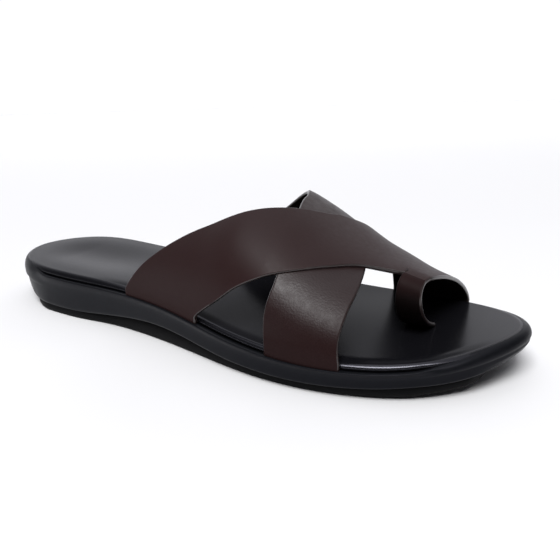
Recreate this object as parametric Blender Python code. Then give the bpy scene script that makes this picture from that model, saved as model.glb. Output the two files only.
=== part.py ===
"""Men's slide sandal for the right foot: two wide leather straps cross over the
instep and the upper one runs on into a loop round the big toe.

Metres, +Z up, toe along +X, inner side of the foot along +Y, floor at z = 0.
Every curved form is worked out from the named sizes and from short tables of
shares, so a new length, width or height carries through the whole sandal.
"""
import math

import bmesh
import bpy
import numpy as np

for old in list(bpy.data.objects):
    bpy.data.objects.remove(old, do_unlink=True)

# Driving dimensions
LENGTH = 0.285
BALL_WIDTH = 0.100
HEEL_HEIGHT = 0.0235
INSTEP_HEIGHT = 0.043
STRAP_THICKNESS = 0.0020
INSOLE_THICKNESS = 0.0036
EDGE_DROP = 0.0014
CROWN_WIDTH = 0.0045
ROLL_DEPTH = 0.0024
GROOVE_WIDTH = 0.0008
WALL_BULGE = 0.0011
TREAD_INSET = 0.0026
TREAD_RECESS = 0.0018
TREAD_NOTCH = 0.0030
TREAD_NOTCH_REACH = 0.0140
TREAD_NOTCH_DEPTH = 0.0014
TREAD_CHAMFER = 0.0012
TREAD_TOE_TUCK = 0.0085
WALL_TOE_TUCK = 0.0015
HEEL_TUCK = 0.0020
MARGIN_WIDTH = 0.0100
TOE_STRAP_TUCK = 0.0034
CLEARANCE = 0.0003

# Sizes that follow from the driving dimensions
STRAP_HALF = STRAP_THICKNESS / 2
CROSSING_STEP = STRAP_THICKNESS * 0.72
BEND_RADIUS = STRAP_THICKNESS * 0.80

# Outline seen from above, heel back first, then the inner side to the toe and
# the outer side back: share of the length, share of the ball width
OUTLINE = (
    (0.000, 0.000),
    (0.040, 0.245),
    (0.140, 0.357),
    (0.385, 0.325),
    (0.580, 0.405),
    (0.725, 0.474),
    (0.873, 0.442),
    (0.967, 0.280),
    (1.000, 0.070),
    (0.966, -0.167),
    (0.872, -0.408),
    (0.690, -0.520),
    (0.515, -0.450),
    (0.335, -0.381),
    (0.140, -0.361),
    (0.040, -0.238),
)
TOE_POINT = 8
TUCK_START = 0.945
HEEL_END = 0.10

# Heights along the foot as shares of the heel height:
# share of the length, top of the insole, lower lip of the wall, underside of the tread
PROFILE = (
    (0.000, 1.000, 0.260, 0.045),
    (0.050, 0.995, 0.230, 0.000),
    (0.210, 0.965, 0.170, 0.000),
    (0.456, 0.902, 0.385, 0.000),
    (0.620, 0.700, 0.215, 0.000),
    (0.735, 0.612, 0.188, 0.000),
    (0.877, 0.662, 0.285, 0.055),
    (0.960, 0.800, 0.398, 0.165),
    (1.000, 0.905, 0.560, 0.500),
)

# How far the edge of the insole stands in from the outline:
# share of the length, share of the ball width, drop from the top of the insole to
# the rim of the sole and width of the rolled edge as shares of the insole's thickness
INSOLE_EDGE = (
    (0.00, 0.020, 0.90, 0.95),
    (0.20, 0.030, 0.90, 0.95),
    (0.34, 0.036, 0.86, 0.65),
    (0.55, 0.037, 0.84, 0.42),
    (0.90, 0.034, 0.86, 0.42),
    (0.97, 0.014, 0.84, 1.15),
    (1.00, 0.014, 0.84, 1.15),
)

# Cross-sections of the last above the insole: share of the length, height of the
# crest as a share of the instep height, crest to the inner side as a share of the
# ball width, roundness of the section
LAST = (
    (0.330, 0.680, 0.00, 2.5),
    (0.440, 0.860, 0.03, 2.5),
    (0.525, 1.030, 0.07, 2.5),
    (0.600, 1.150, 0.12, 2.5),
    (0.650, 1.020, 0.13, 2.5),
    (0.700, 0.848, 0.11, 2.4),
    (0.745, 0.722, 0.08, 2.2),
    (0.785, 0.637, 0.04, 2.0),
    (0.825, 0.580, -0.01, 1.65),
    (0.880, 0.485, -0.05, 1.45),
)

# Upper strap from the outer foot to the inner foot: share of the way round the
# last, rear edge and front edge as shares of the length
UPPER_STRAP = (
    (0.00, 0.365, 0.536),
    (0.06, 0.390, 0.588),
    (0.11, 0.412, 0.619),
    (0.16, 0.440, 0.648),
    (0.20, 0.465, 0.669),
    (0.26, 0.511, 0.700),
    (0.33, 0.580, 0.736),
    (0.39, 0.619, 0.771),
    (0.44, 0.647, 0.823),
    (0.50, 0.680, 0.823),
    (0.60, 0.708, 0.823),
    (0.80, 0.729, 0.823),
    (1.00, 0.737, 0.823),
)

# Lower strap, same columns
LOWER_STRAP = (
    (0.00, 0.675, 0.790),
    (0.08, 0.673, 0.786),
    (0.20, 0.676, 0.785),
    (0.32, 0.668, 0.782),
    (0.42, 0.647, 0.767),
    (0.50, 0.625, 0.740),
    (0.56, 0.614, 0.722),
    (0.64, 0.598, 0.695),
    (0.74, 0.559, 0.655),
    (0.87, 0.475, 0.605),
    (1.00, 0.400, 0.560),
)

# Toe loop: the way round the last, and the station of the loop's rim as a share of
# the length. Its first row is the notch where the loop leaves the front edge.
LOOP_RIM = (
    (0.44, 0.860),
    (0.60, 0.868),
    (0.80, 0.874),
    (1.00, 0.876),
)

# Leg of the loop that goes down between the toes: stations of its foot's two edges as
# shares of the length, its place to the inner side as a share of the ball width, and
# the curve's reach from the notch, belly and rise as shares of the ball width
LEG_FOOT = (0.818, 0.864, 0.035)
LEG_CURVE = (0.10, 0.18, 0.06)

RING_POINTS = 104
CAP_ROWS = 5


def lerp_table(rows, column, share):
    """Values of one table column at the given shares, joined by straight runs."""
    table = np.array(rows)
    return np.interp(share, table[:, 0], table[:, column])


def smooth_table(rows, column, share):
    """Values of one table column at the given shares, joined by a smooth curve."""
    table = np.array(rows)
    xs = table[:, 0]
    ys = table[:, column]
    step = np.diff(xs)
    rise = np.diff(ys) / step
    slope = np.empty_like(ys)
    slope[0] = rise[0]
    slope[-1] = rise[-1]
    slope[1:-1] = (rise[:-1] * step[1:] + rise[1:] * step[:-1]) / (step[:-1] + step[1:])
    share = np.asarray(share, dtype=float)
    k = np.clip(np.searchsorted(xs, share, side="right") - 1, 0, len(step) - 1)
    t = np.clip((share - xs[k]) / step[k], 0, 1)
    start = (2 * t**3 - 3 * t**2 + 1) * ys[k] + (t**3 - 2 * t**2 + t) * step[k] * slope[k]
    end = (3 * t**2 - 2 * t**3) * ys[k + 1] + (t**3 - t**2) * step[k] * slope[k + 1]
    return start + end


def outline_points(count):
    """Points round the outline, half of them on each side from heel to toe."""
    p = np.array([(a * LENGTH, b * BALL_WIDTH) for a, b in OUTLINE])
    m = len(p)
    q = np.vstack([p, p[:1]])
    h = np.sqrt(np.hypot(*np.diff(q, axis=0).T))
    matrix = np.zeros((m, m))
    right = np.zeros((m, 2))
    for i in range(m):
        matrix[i, i - 1] += h[i - 1]
        matrix[i, i] += 2 * (h[i - 1] + h[i])
        matrix[i, (i + 1) % m] += h[i]
        right[i] = 6 * ((q[i + 1] - q[i]) / h[i] - (q[i] - p[i - 1]) / h[i - 1])
    bend = np.linalg.solve(matrix, right)
    bend = np.vstack([bend, bend[:1]])
    knots = np.r_[0, np.cumsum(h)]
    half = count // 2
    inner = np.linspace(0, knots[TOE_POINT], half, endpoint=False)
    outer = np.linspace(knots[TOE_POINT], knots[-1], half, endpoint=False)
    t = np.r_[inner, outer]
    k = np.clip(np.searchsorted(knots, t, side="right") - 1, 0, m - 1)
    a = ((knots[k + 1] - t) / h[k])[:, None]
    b = ((t - knots[k]) / h[k])[:, None]
    hh = (h[k] ** 2 / 6)[:, None]
    return a * q[k] + b * q[k + 1] + (a**3 - a) * hh * bend[k] + (b**3 - b) * hh * bend[k + 1]


FINE = outline_points(1200)
FINE_RUN = np.roll(FINE, -1, 0) - np.roll(FINE, 1, 0)
FINE_RUN = FINE_RUN / np.linalg.norm(FINE_RUN, axis=1)[:, None]
FINE_OUT = np.c_[-FINE_RUN[:, 1], FINE_RUN[:, 0]]


def insole_edge(x):
    """Inset of the insole's edge from the outline at station x."""
    return lerp_table(INSOLE_EDGE, 1, np.asarray(x) / LENGTH) * BALL_WIDTH


def strap_inset(x):
    """Inset of the middle of a strap where it stands beside the insole."""
    return insole_edge(x) - CLEARANCE - STRAP_HALF


def side_at(inset, x, side):
    """Across position of the outline moved in by inset, at station x."""
    moved = FINE - FINE_OUT * np.reshape(inset, (-1, 1))
    half = len(moved) // 2
    run = moved[: half + 1] if side > 0 else np.vstack([moved[half:], moved[:1]])[::-1]
    keep = np.r_[True, np.diff(np.maximum.accumulate(run[:, 0])) > 0]
    return np.interp(x, run[keep, 0], run[keep, 1])


def foot_height(x):
    """Top of the insole above the floor at station x."""
    return smooth_table(PROFILE, 1, np.asarray(x) / LENGTH) * HEEL_HEIGHT


def lip_height(x):
    """Lower lip of the side wall above the floor at station x."""
    return smooth_table(PROFILE, 2, np.asarray(x) / LENGTH) * HEEL_HEIGHT


def floor_height(x):
    """Underside of the tread above the floor at station x, flat from heel to ball."""
    return np.maximum(lerp_table(PROFILE, 3, np.asarray(x) / LENGTH), 0) * HEEL_HEIGHT


def ease(share):
    """Smooth step from 0 to 1."""
    t = np.clip(share, 0, 1)
    return t * t * (3 - 2 * t)


def toe_tuck(x):
    """How far station x lies round the tucked end of the toe, 0 at its start, 1 at the tip."""
    return ease((np.asarray(x) / LENGTH - TUCK_START) / (1 - TUCK_START))


def heel_tuck(x):
    """How far station x lies round the tucked end of the heel, 1 at the very back."""
    return ease((HEEL_END - np.asarray(x) / LENGTH) / HEEL_END)


def tread_inset(x):
    """Inset of the tread, a little less along the heel and more round the toe."""
    beside_heel = ease((0.34 - np.asarray(x) / LENGTH) / 0.12)
    return TREAD_INSET * (1 - 0.35 * beside_heel) + TREAD_TOE_TUCK * toe_tuck(x) + HEEL_TUCK * heel_tuck(x)


def groove_width(x):
    """Width of the groove between insole and rim, half as wide at heel end and toe."""
    share = np.asarray(x) / LENGTH
    ends = np.maximum(ease((0.06 - share) / 0.06), ease((share - 0.90) / 0.07))
    return GROOVE_WIDTH * (1 - 0.5 * ends)


def edge_drop(x, y):
    """How far the insole's edge drops on the outer side of the middle and forefoot."""
    share = np.asarray(x) / LENGTH
    along = ease((share - 0.25) / 0.15) * (1 - ease((share - 0.92) / 0.06))
    return EDGE_DROP * along * ease(-np.asarray(y) / (0.25 * BALL_WIDTH))


def last_point(x, share, lift):
    """Point on the last at station x, share of the way from outer to inner foot."""
    x = np.asarray(x, dtype=float)
    share = np.asarray(share, dtype=float)
    middle = strap_inset(FINE[:, 0])
    outer = side_at(middle, x, -1)
    inner = side_at(middle, x, 1)
    ground = foot_height(x)
    crest = smooth_table(LAST, 1, x / LENGTH) * INSTEP_HEIGHT + STRAP_HALF
    shift = smooth_table(LAST, 2, x / LENGTH) * BALL_WIDTH
    power = 2 / smooth_table(LAST, 3, x / LENGTH)
    turn = math.pi * share
    reach = np.where(np.cos(turn) > 0, outer - shift, inner - shift)
    y = shift + reach * np.abs(np.cos(turn)) ** power
    z = ground + (crest + lift * np.sin(turn)) * np.maximum(np.sin(turn), 0) ** power
    return np.stack([x, y + np.sign(reach) * lift * np.abs(np.cos(turn)) * np.sin(turn), z], -1)


def foot_path(x, side):
    """A strap's end from its margin under the insole up to the edge of the insole."""
    inset = strap_inset(x)
    level = foot_height(x) - INSOLE_THICKNESS - CLEARANCE - STRAP_HALF
    rows = []
    for share in (1.0, 0.55, 0.12):
        rows.append((inset + BEND_RADIUS + MARGIN_WIDTH * share, level))
    for angle in (0.0, 30.0, 60.0, 90.0):
        a = math.radians(angle)
        rows.append((inset + BEND_RADIUS * (1 - math.sin(a)), level + BEND_RADIUS * (1 - math.cos(a))))
    rows.append((inset, foot_height(x)))
    points = []
    for offset, z in rows:
        width = side_at(strap_inset(FINE[:, 0]) + (offset - inset), x, side)
        points.append((x, float(width), float(z)))
    return points


def build(name, verts, faces, color, metallic, roughness):
    """One closed body with its own material."""
    mesh = bpy.data.meshes.new(name)
    mesh.from_pydata([tuple(map(float, v)) for v in verts], [], faces)
    work = bmesh.new()
    work.from_mesh(mesh)
    bmesh.ops.remove_doubles(work, verts=work.verts, dist=0.000002)
    bmesh.ops.recalc_face_normals(work, faces=work.faces)
    work.to_mesh(mesh)
    work.free()
    body = bpy.data.objects.new(name, mesh)
    bpy.context.scene.collection.objects.link(body)
    if color is not None:
        material = bpy.data.materials.new(name + "_material")
        material.use_nodes = True
        shader = material.node_tree.nodes["Principled BSDF"]
        shader.inputs["Base Color"].default_value = (*color, 1.0)
        shader.inputs["Metallic"].default_value = metallic
        shader.inputs["Roughness"].default_value = roughness
        mesh.materials.append(material)
    return body


def ring_body(name, rings, color, roughness):
    """Closed body from rings given from the lowest to the highest.

    Each ring is (inset function, height function, both of the station), and where it
    follows the edge of the insole also its share of the edge's drop. The first and
    the last ring are closed by rows that run across the foot.
    """
    base = outline_points(RING_POINTS)
    run = np.roll(base, -1, 0) - np.roll(base, 1, 0)
    run = run / np.linalg.norm(run, axis=1)[:, None]
    out = np.c_[-run[:, 1], run[:, 0]]
    n = RING_POINTS
    half = n // 2
    verts = []
    faces = []
    for inset, height, *drop in rings:
        flat = base - out * np.reshape(inset(base[:, 0]), (-1, 1))
        z = height(flat[:, 0]) - sum(drop) * edge_drop(flat[:, 0], flat[:, 1])
        verts += [(x, y, h) for (x, y), h in zip(flat, np.broadcast_to(z, n))]
    for k in range(len(rings) - 1):
        for i in range(n):
            j = (i + 1) % n
            faces.append((k * n + i, k * n + j, (k + 1) * n + j, (k + 1) * n + i))
    for k in (0, len(rings) - 1):
        height = rings[k][1]
        rows = [[k * n]]
        for i in range(1, half):
            left = verts[k * n + i]
            right = verts[k * n + n - i]
            row = [k * n + i]
            for step in range(1, CAP_ROWS):
                t = step / CAP_ROWS
                x = left[0] + (right[0] - left[0]) * t
                y = left[1] + (right[1] - left[1]) * t
                verts.append((x, y, float(height(x))))
                row.append(len(verts) - 1)
            row.append(k * n + n - i)
            rows.append(row)
        rows.append([k * n + half])
        for a, b in zip(rows[:-1], rows[1:]):
            for s in range(max(len(a), len(b)) - 1):
                if len(a) == 1:
                    faces.append((a[0], b[s], b[s + 1]))
                elif len(b) == 1:
                    faces.append((a[s], b[0], a[s + 1]))
                else:
                    faces.append((a[s], b[s], b[s + 1], a[s + 1]))
    return build(name, verts, faces, color, 0.0, roughness)


def sheet_body(name, points, faces, color, roughness):
    """A leather sheet through the given middle points, thickened to both sides."""
    points = np.array(points, dtype=float)
    normal = np.zeros_like(points)
    for a, b, c, d in faces:
        facing = np.cross(points[c] - points[a], points[d] - points[b])
        facing = facing / np.linalg.norm(facing)
        for k in (a, b, c, d):
            normal[k] += facing
    normal = normal / np.linalg.norm(normal, axis=1)[:, None]
    top = points + normal * STRAP_HALF
    bottom = points - normal * STRAP_HALF
    n = len(points)
    solid = [tuple(f) for f in faces] + [tuple(n + k for k in reversed(f)) for f in faces]
    edges = {}
    for f in faces:
        for k in range(4):
            edges[(f[k], f[(k + 1) % 4])] = True
    for a, b in edges:
        if (b, a) not in edges:
            solid.append((b, a, n + a, n + b))
    return build(name, list(top) + list(bottom), solid, color, 0.0, roughness)


def strap_fibre(rows, across, shares, lift):
    """One line along a strap, from the inner margin over the last to the outer one."""
    def station(share):
        rear = smooth_table(rows, 1, share)
        front = smooth_table(rows, 2, share)
        return (rear + (front - rear) * across) * LENGTH
    points = foot_path(float(station(1.0)), 1)
    for share in shares:
        points.append(tuple(last_point(station(share), share, lift)))
    points += reversed(foot_path(float(station(0.0)), -1))
    return points


def grid_faces(rows, columns, start):
    """Quads of a grid whose vertices are numbered row by row."""
    faces = []
    for i in range(rows - 1):
        for j in range(columns - 1):
            a = start + i * columns + j
            faces.append((a, a + 1, a + columns + 1, a + columns))
    return faces


def pocket_cutter(name, x0, x1, side):
    """Room in the sole for a strap's end: the standing part and its margin."""
    stations = np.linspace(x0 - CLEARANCE, x1 + CLEARANCE, 9)
    verts = []
    for x in stations:
        outer = -STRAP_HALF - CLEARANCE
        inner = BEND_RADIUS + MARGIN_WIDTH + CLEARANCE
        middle = strap_inset(FINE[:, 0])
        y0 = float(side_at(middle + outer, x, side))
        y1 = float(side_at(middle + inner, x, side))
        low = float(foot_height(x)) - INSOLE_THICKNESS - CLEARANCE - STRAP_THICKNESS - CLEARANCE
        high = float(foot_height(x)) + STRAP_THICKNESS
        verts += [(x, y0, low), (x, y1, low), (x, y1, high), (x, y0, high)]
    faces = []
    for i in range(len(stations) - 1):
        for k in range(4):
            a = i * 4 + k
            b = i * 4 + (k + 1) % 4
            faces.append((a, b, b + 4, a + 4))
    last = (len(stations) - 1) * 4
    faces += [(0, 1, 2, 3), (last, last + 1, last + 2, last + 3)]
    return build(name, verts, faces, None, 0.0, 0.5)


def box_cutter(name, low, high):
    """A plain box between two corners."""
    verts = [(x, y, z) for x in (low[0], high[0]) for y in (low[1], high[1]) for z in (low[2], high[2])]
    faces = [(0, 1, 3, 2), (4, 6, 7, 5), (0, 4, 5, 1), (2, 3, 7, 6), (0, 2, 6, 4), (1, 5, 7, 3)]
    return build(name, verts, faces, None, 0.0, 0.5)


def combine(body, others, operation):
    """Boolean of a body with others, which stay in the file hidden as wires."""
    for other in others:
        other.hide_render = True
        other.display_type = "WIRE"
        modifier = body.modifiers.new(operation.lower() + "_" + other.name, "BOOLEAN")
        modifier.operation = operation
        modifier.solver = "EXACT"
        modifier.object = other


def at_inset(value, toe=0.0, heel=0.0):
    """Inset of a ring of the wall, tucked further in round the toe and the heel."""
    return lambda x: value + toe * toe_tuck(x) + heel * heel_tuck(x)


# Tread: a flat-bottomed layer that sits in a shallow recess under the side wall
tread_rings = (
    (lambda x: tread_inset(x) + TREAD_CHAMFER, floor_height),
    (tread_inset, lambda x: floor_height(x) + TREAD_CHAMFER),
    (tread_inset, lambda x: lip_height(x) + TREAD_RECESS - CLEARANCE),
)
outsole = ring_body("outsole", tread_rings, (0.012, 0.012, 0.014), 0.75)

# Unit sole: side wall that flares to its lower lip, a rim round the top and a seat inside
seat = lambda x: foot_height(x) - INSOLE_THICKNESS - CLEARANCE
rim = lambda x: foot_height(x) - lerp_table(INSOLE_EDGE, 2, x / LENGTH) * INSOLE_THICKNESS
span = lambda share: (lambda x: lip_height(x) + (rim(x) - lip_height(x)) * share)
midsole_rings = (
    (lambda x: tread_inset(x) - CLEARANCE, lambda x: lip_height(x) + TREAD_RECESS),
    (lambda x: tread_inset(x) - CLEARANCE, lip_height),
    (at_inset(WALL_BULGE * 0.9, WALL_TOE_TUCK, HEEL_TUCK), span(0.0)),
    (at_inset(0.0, WALL_TOE_TUCK * 0.8, HEEL_TUCK * 0.9), span(0.08)),
    (at_inset(WALL_BULGE * 0.4, WALL_TOE_TUCK * 0.3, HEEL_TUCK * 0.4), span(0.30)),
    (at_inset(WALL_BULGE * 0.7, 0.0, -WALL_BULGE * 0.4), span(0.62)),
    (at_inset(WALL_BULGE * 0.35, -WALL_BULGE * 0.35, -WALL_BULGE * 0.35), span(0.93)),
    (at_inset(WALL_BULGE * 0.6), rim),
    (lambda x: insole_edge(x) - groove_width(x), rim),
    (lambda x: insole_edge(x) - CLEARANCE, seat),
)
midsole = ring_body("midsole", midsole_rings, (0.010, 0.010, 0.012), 0.45)

# Insole: rolled edge, and a crown that falls to it where the edge drops
roll = lambda x: lerp_table(INSOLE_EDGE, 3, x / LENGTH) * INSOLE_THICKNESS
insole_rings = [(lambda x: insole_edge(x) + ROLL_DEPTH * 0.3, lambda x: foot_height(x) - INSOLE_THICKNESS)]
for angle in (0.0, 30.0, 60.0, 90.0):
    inward = 1 - math.cos(math.radians(angle))
    down = 1 - math.sin(math.radians(angle))
    insole_rings.append(
        (
            lambda x, k=inward: insole_edge(x) + roll(x) * k,
            lambda x, k=down: foot_height(x) - ROLL_DEPTH * k,
            1 - down,
        )
    )
insole_rings.append((lambda x: insole_edge(x) + roll(x) + CROWN_WIDTH, foot_height, 0.0))
insole = ring_body("insole", insole_rings, (0.030, 0.030, 0.034), 0.40)

# Lower strap
shares = np.linspace(0.985, 0.015, 31)
rows = 8
lower_points = []
for i in range(rows):
    lower_points += strap_fibre(LOWER_STRAP, i / (rows - 1), shares, 0.0)
columns = len(lower_points) // rows
lower = sheet_body("lower_strap", lower_points, grid_faces(rows, columns, 0), None, 0.5)

# Upper strap with the toe loop as one sheet: the loop shares the strap's front
# line from the inner foot to the notch and then goes down between the toes
rows = 9
notch = LOOP_RIM[0][0]
upper_shares = np.r_[np.linspace(0.985, notch, 19), np.linspace(notch, 0.015, 15)[1:]]
upper_points = []
for i in range(rows):
    upper_points += strap_fibre(UPPER_STRAP, i / (rows - 1), upper_shares, CROSSING_STEP)
columns = len(upper_points) // rows
upper_faces = grid_faces(rows, columns, 0)
shared = len(foot_path(0.5 * LENGTH, 1)) + 19
front_station = UPPER_STRAP[-1][2] * LENGTH


def loop_station(share, across):
    """Station on the loop, from the strap's front line to the loop's rim."""
    rim_line = smooth_table(LOOP_RIM, 1, share) * LENGTH
    return front_station + (rim_line - front_station) * across


def leg_points(across):
    """The leg between the toes, from the notch down through the insole."""
    x_top = loop_station(notch, across)
    start = last_point(x_top, notch, CROSSING_STEP)
    before = last_point(x_top, notch + 0.01, CROSSING_STEP)
    x_foot = (LEG_FOOT[0] + (LEG_FOOT[1] - LEG_FOOT[0]) * across) * LENGTH
    ground = float(foot_height(x_foot))
    end = np.array([x_foot, LEG_FOOT[2] * BALL_WIDTH, ground + STRAP_HALF])
    ahead = (start - before) / np.linalg.norm(start - before)
    handle_a = start + ahead * LEG_CURVE[0] * BALL_WIDTH
    handle_b = end + np.array([0.0, -LEG_CURVE[1], LEG_CURVE[2]]) * BALL_WIDTH
    points = []
    for t in np.linspace(0, 1, 11)[1:]:
        s = 1 - t
        points.append(s**3 * start + 3 * s**2 * t * handle_a + 3 * s * t**2 * handle_b + t**3 * end)
    for down in (0.3, 1.0):
        points.append(end - np.array([0.0, 0.0, (INSOLE_THICKNESS + TOE_STRAP_TUCK) * down]))
    return points


loop_rows = 4
leg_start = len(upper_points)
leg_count = len(leg_points(0.0))
upper_points += leg_points(0.0)
previous = [(rows - 1) * columns + j for j in range(shared)] + [leg_start + j for j in range(leg_count)]
for i in range(1, loop_rows):
    across = i / (loop_rows - 1)
    line = foot_path(float(loop_station(1.0, across)), 1)
    for share in upper_shares[:19]:
        line.append(tuple(last_point(loop_station(share, across), share, CROSSING_STEP)))
    line += [tuple(p) for p in leg_points(across)]
    begin = len(upper_points)
    upper_points += line
    current = [begin + j for j in range(len(line))]
    for j in range(len(line) - 1):
        upper_faces.append((previous[j], previous[j + 1], current[j + 1], current[j]))
    previous = current
upper = sheet_body("upper", upper_points, upper_faces, (0.045, 0.028, 0.026), 0.42)
combine(upper, (lower,), "UNION")

# Room for the strap ends in the unit sole and for the loop's leg in the insole
pockets = []
ends = (
    ("outer_rear", UPPER_STRAP[0], -1),
    ("outer_front", LOWER_STRAP[0], -1),
    ("inner_rear", LOWER_STRAP[-1], 1),
    ("inner_front", UPPER_STRAP[-1], 1),
)
for label, row, side in ends:
    front = LOOP_RIM[-1][1] if label == "inner_front" else row[2]
    pockets.append(pocket_cutter("pocket_" + label, row[1] * LENGTH, front * LENGTH, side))
leg_x0 = LEG_FOOT[0] * LENGTH - CLEARANCE
leg_x1 = LEG_FOOT[1] * LENGTH + CLEARANCE
leg_y = LEG_FOOT[2] * BALL_WIDTH
leg_ground = float(foot_height((leg_x0 + leg_x1) / 2))
slot_half = STRAP_HALF + CLEARANCE
slot_low = leg_ground - INSOLE_THICKNESS - TOE_STRAP_TUCK + STRAP_HALF - 2 * CLEARANCE
slot_high = leg_ground + INSOLE_THICKNESS
leg_slot = box_cutter("leg_slot", (leg_x0, leg_y - slot_half, slot_low), (leg_x1, leg_y + slot_half, slot_high))
combine(midsole, pockets + [leg_slot], "DIFFERENCE")
combine(insole, (leg_slot,), "DIFFERENCE")

# Notches of the tread, cut in from both sides so that the middle stays flat
bars = []
for k, share in enumerate((0.10, 0.16, 0.22, 0.62, 0.68, 0.74, 0.80)):
    x = share * LENGTH
    for side in (-1, 1):
        edge = float(side_at(tread_inset(FINE[:, 0]), x, side))
        ends = (edge + side * TREAD_NOTCH, edge - side * TREAD_NOTCH_REACH)
        low = (x - TREAD_NOTCH / 2, min(ends), -TREAD_NOTCH_DEPTH)
        high = (x + TREAD_NOTCH / 2, max(ends), TREAD_NOTCH_DEPTH)
        bars.append(box_cutter("notch_%d_%s" % (k, "inner" if side > 0 else "outer"), low, high))
combine(outsole, bars, "DIFFERENCE")

# Centre the sandal on its outline, toe along +X
middle_x = (FINE[:, 0].min() + FINE[:, 0].max()) / 2
middle_y = (FINE[:, 1].min() + FINE[:, 1].max()) / 2
for body in bpy.context.scene.objects:
    for vertex in body.data.vertices:
        vertex.co.x -= middle_x
        vertex.co.y -= middle_y
for body in (outsole, midsole, insole, upper):
    body.data.shade_smooth()
    body.data.set_sharp_from_angle(angle=math.radians(40))
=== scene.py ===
"""Looks of a men's cross-strap slide sandal with a toe loop, right foot.

Metres, +Z up, toe along +X, inner side of the foot along +Y. The forms are smooth
surfaces worked out from the same main sizes and shares as the solids they stand for. The
insole's rolled edge, the groove beside it and the rounding of wall and tread at heel and
toe have values of their own here, and the tread is drawn without its notches. The forms
are worked out with the heel's back at x = 0 and moved to the frame's origin at the end.
"""
import math

import bpy
import numpy as np
from mathutils import Matrix, Vector


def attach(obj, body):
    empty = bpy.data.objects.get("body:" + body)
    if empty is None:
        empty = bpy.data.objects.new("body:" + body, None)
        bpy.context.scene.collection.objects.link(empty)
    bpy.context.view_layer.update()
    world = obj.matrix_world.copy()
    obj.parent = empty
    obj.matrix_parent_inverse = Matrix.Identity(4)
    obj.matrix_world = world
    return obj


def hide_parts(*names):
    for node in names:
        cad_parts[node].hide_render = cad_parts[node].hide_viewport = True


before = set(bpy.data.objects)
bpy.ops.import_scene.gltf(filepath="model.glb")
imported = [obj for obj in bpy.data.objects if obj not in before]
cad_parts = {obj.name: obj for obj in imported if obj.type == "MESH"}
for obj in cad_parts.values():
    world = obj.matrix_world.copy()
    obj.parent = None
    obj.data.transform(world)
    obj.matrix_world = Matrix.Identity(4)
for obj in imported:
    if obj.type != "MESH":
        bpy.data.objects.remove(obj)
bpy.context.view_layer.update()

# Sizes of the sandal
LENGTH = 0.285
BALL_WIDTH = 0.100
HEEL_HEIGHT = 0.0235
INSTEP_HEIGHT = 0.043
CLEARANCE = 0.0003

# Straps: thickness, rounding of the cut edges, lift over the last where the upper strap
# crosses the lower one and beside it, and unevenness of the worn leather
STRAP_THICKNESS = 0.0020
STRAP_ROUNDING = 0.0008
CROSSING_LIFT = 0.0019
FREE_LIFT = 0.0006
WAVE_HEIGHT = 0.0001
# How far down the strap ends go beside the insole, and the leg of the loop past its foot
FOOT_DEPTHS = (0.0048, 0.0030, 0.0014)
LEG_DEPTHS = (0.0012, 0.0030)

# Insole: thickness, depth of the edge's wide roll, crown next to it, drop of the outer
# edge, undercut of the lower edge, and the dish under the heel and the crown at the ball
# as depth, station and spread
INSOLE_THICKNESS = 0.0036
ROLL_DEPTH = 0.0024
CROWN_WIDTH = 0.0045
EDGE_DROP = 0.0007
UNDERCUT = 0.0014
HEEL_DISH = (0.0013, 0.18, 0.16)
BALL_CROWN = (0.0006, 0.70, 0.14)

# Unit sole: bulge of the wall, how far it is tucked in round toe and heel, width of the
# groove beside the insole, depth of the seat below the rim, and how far from the heel's
# back the groove stays shallower
WALL_BULGE = 0.0011
WALL_TOE_TUCK = 0.0015
HEEL_INSET = 0.0014
HEEL_TUCK = 0.0048
GROOVE_WIDTH = 0.0005
SEAT_DEPTH = 0.0016
SHALLOW_GROOVE_END = 0.100

# Tread: inset from the outline, the further inset round toe and heel, and how far it
# laps into the sole
TREAD_INSET = 0.0026
TREAD_TOE_TUCK = 0.0085
TREAD_HEEL_TUCK = 0.0085
TREAD_LAP = 0.0012

# Stretches along the foot, as shares of the length: where a form begins and where it is full
HEEL_TUCKED = (0.16, 0.00)
TOE_TUCKED = (0.945, 1.00)
HEEL_SMOOTH = (0.16, 0.09)
TOE_SMOOTH = (0.885, 0.945)
TREAD_BESIDE_HEEL = (0.34, 0.22)
TREAD_ROUND_HEEL = (0.16, 0.02)
NARROW_GROOVE_HEEL = (0.38, 0.23)
NARROW_GROOVE_TOE = (0.90, 0.97)
DROP_FROM_ARCH = (0.25, 0.40)
DROP_FROM_TOE = (0.98, 0.92)
DISH_FROM_HEEL = (0.03, 0.13)
DISH_FROM_TOE = (0.97, 0.87)

# Points round each ring of the sole, the insole and the tread
RING_POINTS = 720
# Steps of the small roll and the crown of the insole's edge, three times as many on the
# wide roll, and the rings of the wide roll between which the edge is pressed glossier
ROLL_STEPS = 8
WIDE_ROLL = (9, 29)

# Outline from above, heel back first, inner side first: shares of length and ball width
OUTLINE = (
    (0.000, 0.000),
    (0.040, 0.245),
    (0.140, 0.357),
    (0.385, 0.325),
    (0.580, 0.405),
    (0.725, 0.474),
    (0.873, 0.442),
    (0.967, 0.280),
    (1.000, 0.070),
    (0.966, -0.167),
    (0.872, -0.408),
    (0.690, -0.520),
    (0.515, -0.450),
    (0.335, -0.381),
    (0.140, -0.361),
    (0.040, -0.238),
)
TOE_POINT = 8

# Share of the length; insole top, lower lip of the wall and underside of the tread as
# shares of the heel height
PROFILE = (
    (0.000, 1.000, 0.260, 0.045),
    (0.050, 0.995, 0.230, 0.000),
    (0.210, 0.965, 0.170, 0.000),
    (0.456, 0.902, 0.385, 0.000),
    (0.620, 0.700, 0.215, 0.000),
    (0.735, 0.612, 0.188, 0.000),
    (0.877, 0.662, 0.285, 0.055),
    (0.960, 0.800, 0.398, 0.165),
    (1.000, 0.905, 0.560, 0.500),
)

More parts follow.
